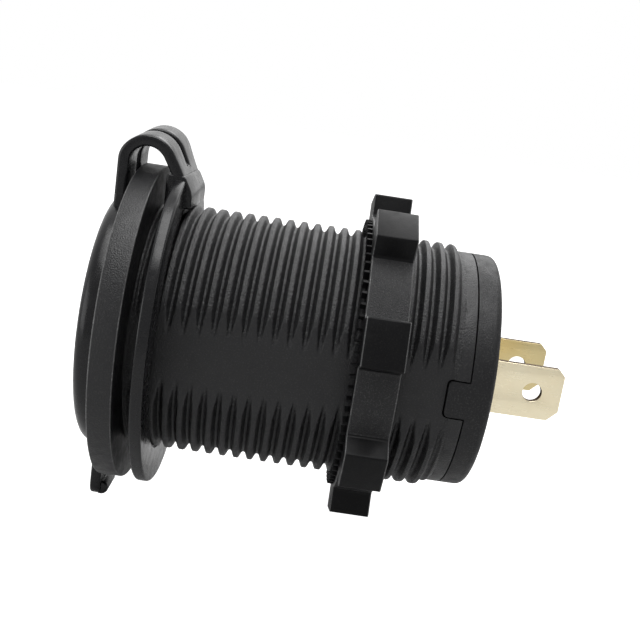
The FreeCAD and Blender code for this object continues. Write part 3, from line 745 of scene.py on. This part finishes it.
cover_profile = soften([
    (AXIS_RADIUS, COVER_REAR, 0.0), (BAND_RADIUS, COVER_REAR, 0.8),
    (BAND_RADIUS, CLIP_FRONT, 0.0), (SPIGOT_RADIUS, CLIP_FRONT, 0.0),
    (SPIGOT_RADIUS, SPIGOT_FRONT, 0.2), (SPIGOT_RADIUS - SPIGOT_WALL, SPIGOT_FRONT, 0.2),
    (SPIGOT_RADIUS - SPIGOT_WALL, COVER_INSIDE, 0.3), (AXIS_RADIUS, COVER_INSIDE, 0.0),
])
cover = new_piece("rear_cover_moulding", *lathe(cover_profile), COVER_NYLON, "socket",
                  "black_plastic", ["rear_cover"])
settle(cover)
inner, outer = SPIGOT_RADIUS + SKIRT_GAP, BAND_RADIUS + PAST
front, rear = CLIP_FRONT - PAST, SEAM_Y + SEAM_GAP
skirt = new_piece("skirt", *lathe([(inner, front), (outer, front), (outer, rear), (inner, rear)]))
for side in (1, -1):
    combine(skirt, clip_tool(side, 0.0), "DIFFERENCE")
combine(cover, skirt, "DIFFERENCE")
print("cover faces", len(cover.data.polygons))

# %% [markdown]
# The blades leave the cover through two slits, a little larger than the strip, as a moulder leaves
# them so that the blades can be pushed in.

# %% Blade slits
BLADE_X, BLADE_HALF, BLADE_WIDTH_HALF = 5.75, 0.4, 3.1
SLIT_GAP = 0.1


def block(name, x, y, z):
    """Box between three pairs of limits."""
    points = [(a, b, c) for a in x for b in y for c in z]
    faces = [(0, 1, 3, 2), (4, 6, 7, 5), (0, 4, 5, 1), (2, 3, 7, 6), (0, 2, 6, 4), (1, 5, 7, 3)]
    return new_piece(name, points, faces)


for side in (1, -1):
    slit = block("slit", (side * BLADE_X - BLADE_HALF - SLIT_GAP,
                          side * BLADE_X + BLADE_HALF + SLIT_GAP),
                 (COVER_INSIDE - PAST, COVER_REAR + PAST),
                 (-BLADE_WIDTH_HALF - SLIT_GAP, BLADE_WIDTH_HALF + SLIT_GAP))
    combine(cover, slit, "DIFFERENCE")
round_shading(cover, BAND_RADIUS)
print("cover faces", len(cover.data.polygons))

# %% [markdown]
# ## The terminal blades
# Blades are stamped from strip: clipped corners, a round latch hole and a slight edge rounding. A
# flat curve with a hole, given thickness and a bevel, makes exactly that. The far blade's brass is
# darker than the near one's, a painted shade; each is pushed in a little differently, and the
# sheared edges are darker than the rolled faces.

# %% Blade outlines
blade_low, blade_high = (Vector(c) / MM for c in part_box("blade_positive"))
BLADE_TIP, BLADE_TAIL = blade_high.y, blade_low.y
SHOULDER, TAIL_HALF = SPIGOT_FRONT, 1.6
TOP_CORNER, BOTTOM_CORNER = 0.8, 1.15
HOLE_SETBACK, HOLE_RADIUS, HOLE_STEPS = 3.4, 1.1, 40


def blade_outline(tip):
    """Side view of one blade as (y, z) points, with its clipped corners rounded."""
    wide = BLADE_WIDTH_HALF
    return soften([
        (BLADE_TAIL, -TAIL_HALF, 0.2), (SHOULDER, -TAIL_HALF, 0.2), (SHOULDER, -wide, 0.2),
        (tip - BOTTOM_CORNER, -wide, 0.4), (tip, BOTTOM_CORNER - wide, 0.4),
        (tip, wide - TOP_CORNER, 0.35), (tip - TOP_CORNER, wide, 0.35),
        (SHOULDER, wide, 0.2), (SHOULDER, TAIL_HALF, 0.2), (BLADE_TAIL, TAIL_HALF, 0.2),
    ])


def circle(a, b, radius, steps):
    """Points of a circle about (a, b)."""
    return [(a + radius * math.cos(2 * math.pi * k / steps),
             b + radius * math.sin(2 * math.pi * k / steps)) for k in range(steps)]


print("blade tip at %.1f mm" % BLADE_TIP)

# %% Blades
BLADE_EDGE = 0.06
SHEARED_SLOT, FACE_ON = 1, 0.7
# The far blade takes the darker brass, a painted shade.
BLADE_SETTING = {"blade_positive": (1, -0.15, BLADE_BRASS),
                 "blade_negative": (-1, 0.30, BLADE_PAINTED_SHADE)}


def stamped(name, outlines, x_middle, finish, stands_for):
    """Flat stamping in a plane of constant x, from (y, z) outlines; inner ones are holes."""
    curve = bpy.data.curves.new(name, "CURVE")
    curve.dimensions = "2D"
    curve.fill_mode = "BOTH"
    curve.extrude = (BLADE_HALF - BLADE_EDGE) * MM
    curve.bevel_depth = BLADE_EDGE * MM
    curve.offset = -BLADE_EDGE * MM
    for outline in outlines:
        spline = curve.splines.new("POLY")
        spline.points.add(len(outline) - 1)
        for point, (y, z) in zip(spline.points, outline):
            point.co = (y * MM, z * MM, 0, 1)
        spline.use_cyclic_u = True
    holder = bpy.data.objects.new(name, curve)
    mesh = bpy.data.meshes.new_from_object(holder)
    bpy.data.objects.remove(holder)
    mesh.transform(Matrix(((0, 0, 1, x_middle * MM), (1, 0, 0, 0), (0, 1, 0, 0), (0, 0, 0, 1))))
    points = [tuple(v.co / MM) for v in mesh.vertices]
    faces = [tuple(p.vertices) for p in mesh.polygons]
    strip = new_piece(name, points, faces, finish, "socket", "blade_brass", stands_for)
    settle(strip)
    strip.data.materials.append(SHEARED_BRASS)
    for face in strip.data.polygons:
        face.material_index = 0 if abs(face.normal.x) >= FACE_ON else SHEARED_SLOT
    return strip


for node_name, (side, shift, brass) in BLADE_SETTING.items():
    tip = BLADE_TIP + shift
    hole = circle(tip - HOLE_SETBACK, 0, HOLE_RADIUS, HOLE_STEPS)
    strip = stamped(node_name + "_strip", [blade_outline(tip), hole], side * BLADE_X, brass,
                    [node_name])
    print(strip.name, "faces", len(strip.data.polygons))

# %% [markdown]
# ## The nut
# The hand nut has eight square lobes to grip and a serrated face that bites the panel. Its outline
# is one lobe repeated round the axis, extruded, and then bored. The bevel modifier can give its
# roundings a finish of their own, so the edges come out pale: partly wear, partly a painted
# highlight.

# %% Nut body
nut_low, nut_high = (Vector(c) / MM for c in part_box("mounting_nut"))
NUT_REAR, NUT_TOE, TOOTH_HEIGHT = nut_high.y, nut_low.y, 0.6
NUT_FRONT = NUT_TOE + TOOTH_HEIGHT
NUT_HUB, NUT_TIP, NUT_BORE = 16.3, 18.95, THREAD_RADIUS + 0.1
LOBES, LOBE_ANGLE, LOBE_HALF = 8, math.radians(18.5), 2.6
FOOT_ROUND, TIP_ROUND, HUB_STEPS = 0.5, 0.25, 6
GRAINED, WEAR_AND_HIGHLIGHT = 1, 2
NUT_EDGE = 0.13


def nut_outline():
    corners = []
    foot = math.sqrt(NUT_HUB ** 2 - LOBE_HALF ** 2)
    between = math.asin(LOBE_HALF / NUT_HUB)
    gap = 2 * math.pi / LOBES - 2 * between
    for lobe in range(LOBES):
        middle = LOBE_ANGLE + 2 * math.pi * lobe / LOBES
        out = Vector((math.cos(middle), math.sin(middle)))
        side = Vector((-math.sin(middle), math.cos(middle)))
        for reach, half, radius in ((foot, -LOBE_HALF, FOOT_ROUND), (NUT_TIP, -LOBE_HALF, TIP_ROUND),
                                    (NUT_TIP, LOBE_HALF, TIP_ROUND), (foot, LOBE_HALF, FOOT_ROUND)):
            corners.append((*(out * reach + side * half), radius))
        for k in range(1, HUB_STEPS):
            angle = middle + between + gap * k / HUB_STEPS
            corners.append((NUT_HUB * math.cos(angle), NUT_HUB * math.sin(angle), 0.0))
    return soften(corners)


def bevelled(piece, width_mm, segments, angle, finish_index=-1):
    """Round the sharp edges; the roundings may take another of the piece's finishes."""
    edge = piece.modifiers.new("bevel", "BEVEL")
    edge.material = finish_index
    edge.width = width_mm * MM
    edge.segments = segments
    edge.limit_method = "ANGLE"
    edge.angle_limit = math.radians(angle)
    edge.harden_normals = False
    return settle(piece)


nut = new_piece("nut_moulding", *prism(nut_outline(), NUT_FRONT, NUT_REAR), NUT_NYLON, "nut",
                "black_plastic", ["mounting_nut"])
nut.data.materials.append(NUT_GRAINED)
# The roundings take the pale edge finish: wear together with a painted highlight.
nut.data.materials.append(WORN_EDGE_AND_HIGHLIGHT)
bevelled(nut, NUT_EDGE, 2, 50, WEAR_AND_HIGHLIGHT)
print("nut body faces", len(nut.data.polygons))

# %% [markdown]
# The teeth are a ring of points that step in and out along the axis, four points a tooth, joined to
# the body before the bore is cut, so that the bore trims them as the mould's core does. The lobes'
# faces are smooth and the hub between them is grained, which is again a choice by face.

# %% Nut teeth, bore and finishes
TEETH, TOOTH_FACE, TOOTH_PLACE = 76, 15.9, (0.0, 0.05, 0.19, 0.24)
TOOTH_SINK, TOOTH_FOOT = 0.4, 0.02
HUB_SLACK = 0.1

tooth_points, tooth_faces = [], []
corner_count = TEETH * len(TOOTH_PLACE)
root_radius, root_y = NUT_BORE - TOOTH_SINK, NUT_FRONT + TOOTH_SINK
for i in range(corner_count):
    tooth, corner = divmod(i, len(TOOTH_PLACE))
    angle = 2 * math.pi * (tooth + TOOTH_PLACE[corner]) / TEETH
    face_y = NUT_TOE if corner in (1, 2) else NUT_FRONT - TOOTH_FOOT
    for radius, y in ((root_radius, face_y), (TOOTH_FACE, face_y),
                      (TOOTH_FACE, root_y), (root_radius, root_y)):
        tooth_points.append((radius * math.cos(angle), y, radius * math.sin(angle)))
    a, b = 4 * i, 4 * ((i + 1) % corner_count)
    tooth_faces += [(a + j, a + (j + 1) % 4, b + (j + 1) % 4, b + j) for j in range(4)]
combine(nut, new_piece("teeth", tooth_points, tooth_faces), "UNION")
bore_outline = circle(0, 0, NUT_BORE, TURN_STEPS)
combine(nut, new_piece("bore", *prism(bore_outline, NUT_TOE - PAST, NUT_REAR + PAST)), "DIFFERENCE")
for face in nut.data.polygons:
    middle = face.center / MM
    on_hub = math.hypot(middle.x, middle.z) < NUT_HUB + HUB_SLACK and middle.y > NUT_FRONT
    if on_hub and face.material_index != WEAR_AND_HIGHLIGHT:
        face.material_index = GRAINED
print("nut faces", len(nut.data.polygons))

# %% [markdown]
# ## The dust cap
# Ring, strap and lid are one soft moulding. The ring hangs loose behind the flange, the lid plugs
# the front, and the strap arches over the flange's rim in two bands. The lid rides on the cap's
# body and the ring on the socket's. The ring is turned, cut level under the strap and joined to a
# lug, which slopes down to the rear.

# %% Ring
ring_low, ring_high = (Vector(c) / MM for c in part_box("cap_ring"))
strap_low, strap_high = (Vector(c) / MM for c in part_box("cap_strap"))
RING_RADIUS, RING_BORE = ring_high.x, THREAD_RADIUS + 0.2
RING_FRONT, RING_REAR = 1.81, 3.16
LUG_FRONT, LUG_REAR, LUG_TOP = ring_low.y, ring_high.y, ring_high.z
HEEL, LUG_SLOPE, LUG_EDGE = strap_high.y + 0.15, 1.8, 0.25
CROWN_INSET, CROWN_DROP, CROWN_HEIGHT = 0.1, 0.7, 3
STRAP_HALF = 5.6

ring_profile = soften([(RING_BORE, RING_FRONT, 0.2), (RING_RADIUS, RING_FRONT, 0.3),
                       (RING_RADIUS, RING_REAR, 0.3), (RING_BORE, RING_REAR, 0.2)])
ring = new_piece("cap_ring_moulding", *lathe(ring_profile), SOFT_RUBBER, "socket", "soft_black",
                 ["cap_ring"])
settle(ring)
crown = block("crown", (-STRAP_HALF + CROWN_INSET, STRAP_HALF - CROWN_INSET),
              (RING_FRONT - PAST, RING_REAR + PAST), (LUG_TOP - CROWN_DROP, LUG_TOP + CROWN_HEIGHT))
combine(ring, crown, "DIFFERENCE")
lug_outline = soften([(LUG_FRONT, RING_BORE, 0.0), (LUG_REAR, RING_BORE, 0.2),
                      (LUG_REAR, LUG_TOP - LUG_SLOPE, 2.4), (HEEL, LUG_TOP, 0.7),
                      (LUG_FRONT, LUG_TOP, 0.2)])
lug = bevelled(new_piece("lug", *across(lug_outline, STRAP_HALF)), LUG_EDGE, 3, 60)
combine(ring, lug, "UNION")
print("ring faces", len(ring.data.polygons))

# %% [markdown]
# The strap is drawn as a sheet along its arch, with the slot left open and a slight twist, as soft
# rubber sits. It is then thickened and rounded.

# %% Strap line
STRAP_THICK, OUTER_RADIUS, LEAN = 1.25, 3.25, math.radians(27)
STRAP_FRONT = strap_low.y + STRAP_THICK / 2
ARCH_RADIUS = OUTER_RADIUS - STRAP_THICK / 2
ARCH_MIDDLE = Vector((STRAP_FRONT + ARCH_RADIUS, strap_high.z - OUTER_RADIUS))
LID_ROOT, STRAP_SINK = strap_low.z, 0.5
ARCH_STEPS, LEG_STEPS = 24, 8


def arch_line():
    """Middle line of the strap as (y, z) points, from the lid's root to the ring's lug."""
    foot = LID_ROOT - STRAP_SINK
    line = [Vector((STRAP_FRONT, foot + (ARCH_MIDDLE.y - foot) * k / LEG_STEPS))
            for k in range(LEG_STEPS)]
    for k in range(ARCH_STEPS + 1):
        angle = math.pi + (LEAN - math.pi) * k / ARCH_STEPS
        line.append(ARCH_MIDDLE + ARCH_RADIUS * Vector((math.cos(angle), math.sin(angle))))
    start = line[-1]
    run = (start.y - LUG_TOP + STRAP_SINK) / math.cos(LEAN)
    down = Vector((math.sin(LEAN), -math.cos(LEAN))) * run
    return line + [start + down * k / LEG_STEPS for k in range(1, LEG_STEPS + 1)]


strap_line = arch_line()
print("strap line", len(strap_line), "points")

# %% Strap
TWIST, STRAP_EDGE = 0.07, 0.3
SLOT_HALF, SLOT_COLUMN, SLOT_FRONT, SLOT_REAR = 0.9, 3, 0.8, 0.2

half_columns = [SLOT_HALF, STRAP_HALF / 3, STRAP_HALF * 2 / 3, STRAP_HALF]
columns = [-x for x in reversed(half_columns)] + half_columns
width = len(columns)
strap_points = [(x, p.x, p.y - x * TWIST * ease((p.y - LUG_TOP) / OUTER_RADIUS))
                for p in strap_line for x in columns]
slot_first = next(i for i, p in enumerate(strap_line) if p.y > LID_ROOT + SLOT_FRONT)
slot_last = max(i for i, p in enumerate(strap_line) if p.y > LUG_TOP + SLOT_REAR)
strap_faces = [(r * width + c, r * width + c + 1, (r + 1) * width + c + 1, (r + 1) * width + c)
               for r in range(len(strap_line) - 1) for c in range(width - 1)
               if not (c == SLOT_COLUMN and slot_first <= r < slot_last)]
strap = new_piece("cap_strap_band", strap_points, strap_faces, SOFT_RUBBER, None, "soft_black")
thicken = strap.modifiers.new("thicken", "SOLIDIFY")
thicken.thickness = STRAP_THICK * MM
thicken.offset = 0
settle(strap)
bevelled(strap, STRAP_EDGE, 3, 50)
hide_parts("cap_strap")
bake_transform(strap)
print("strap faces", len(strap.data.polygons))

# %% [markdown]
# The lid is a crowned disc with a rounded edge and a hollow plug behind it. Being round, it is
# turned from one profile. A root block carries the strap, and a tab below, with a bead along its
# end, gives a fingernail something to lift.

# %% Lid
lid_low, lid_high = (Vector(c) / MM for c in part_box("cap_lid"))
LID_RADIUS, LID_GAP, LID_RIM, LID_SKIN = lid_high.x, 0.06, 2.45, 1.9
LID_BACK = FLANGE_FRONT - LID_GAP
LID_EDGE, LID_APEX = LID_BACK - LID_RIM, lid_low.y
PLUG_RADIUS, PLUG_END, PLUG_WALL = BORE_RADIUS - 0.25, lid_high.y, 1.1
DOME_STEPS = 10


def lid_profile():
    rise = LID_EDGE - LID_APEX
    ball = (LID_RADIUS ** 2 + rise ** 2) / (2 * rise)
    dome = []
    for k in range(DOME_STEPS):
        radius = LID_RADIUS * k / DOME_STEPS
        drop = ball - math.sqrt(ball ** 2 - radius ** 2)
        dome.append((max(radius, AXIS_RADIUS), LID_APEX + drop, 0.0))
    hollow = PLUG_RADIUS - PLUG_WALL
    return soften(dome + [
        (LID_RADIUS, LID_EDGE, 1.2), (LID_RADIUS, LID_BACK, 0.2),
        (PLUG_RADIUS, LID_BACK, 0.0), (PLUG_RADIUS, PLUG_END, 0.3),
        (hollow, PLUG_END, 0.2), (hollow, LID_APEX + LID_SKIN, 0.3),
        (AXIS_RADIUS, LID_APEX + LID_SKIN, 0.0),
    ])


lid = new_piece("cap_lid_moulding", *lathe(lid_profile()), SOFT_RUBBER, "cap", "soft_black",
                ["cap_lid"])
settle(lid)
print("lid faces", len(lid.data.polygons))

# %% Root, tab and bead of the lid
TAB_HALF, TAB_FRONT, TAB_THICK, TAB_REACH, TAB_ROUND = 2.75, -4.7, 1.3, -lid_low.z, 1.6
LID_SINK, LID_SOFT = 2.5, 0.3
BEAD, BEAD_STEPS, BEAD_LIFT, BEAD_INSET = 0.85, 24, 0.1, 0.6

root = block("root", (-STRAP_HALF, STRAP_HALF),
             (STRAP_FRONT - STRAP_THICK / 2, STRAP_FRONT + STRAP_THICK / 2),
             (LID_RADIUS - LID_SINK, LID_ROOT))
combine(lid, bevelled(root, LID_SOFT, 3, 40), "UNION")
tab_top = LID_SINK - LID_RADIUS
tab_outline = soften([(-TAB_HALF, tab_top, 0.0), (-TAB_HALF, -TAB_REACH, TAB_ROUND),
                      (TAB_HALF, -TAB_REACH, TAB_ROUND), (TAB_HALF, tab_top, 0.0)])
tab = new_piece("tab", *prism(tab_outline, TAB_FRONT, TAB_FRONT + TAB_THICK))
combine(lid, bevelled(tab, LID_SOFT, 3, 50), "UNION")
bead_outline = circle(TAB_FRONT + TAB_THICK, BEAD - TAB_REACH + BEAD_LIFT, BEAD, BEAD_STEPS)
bead = new_piece("bead", *across(bead_outline, TAB_HALF - BEAD_INSET))
combine(lid, bevelled(bead, LID_SOFT, 3, 60), "UNION")
print("lid faces", len(lid.data.polygons))
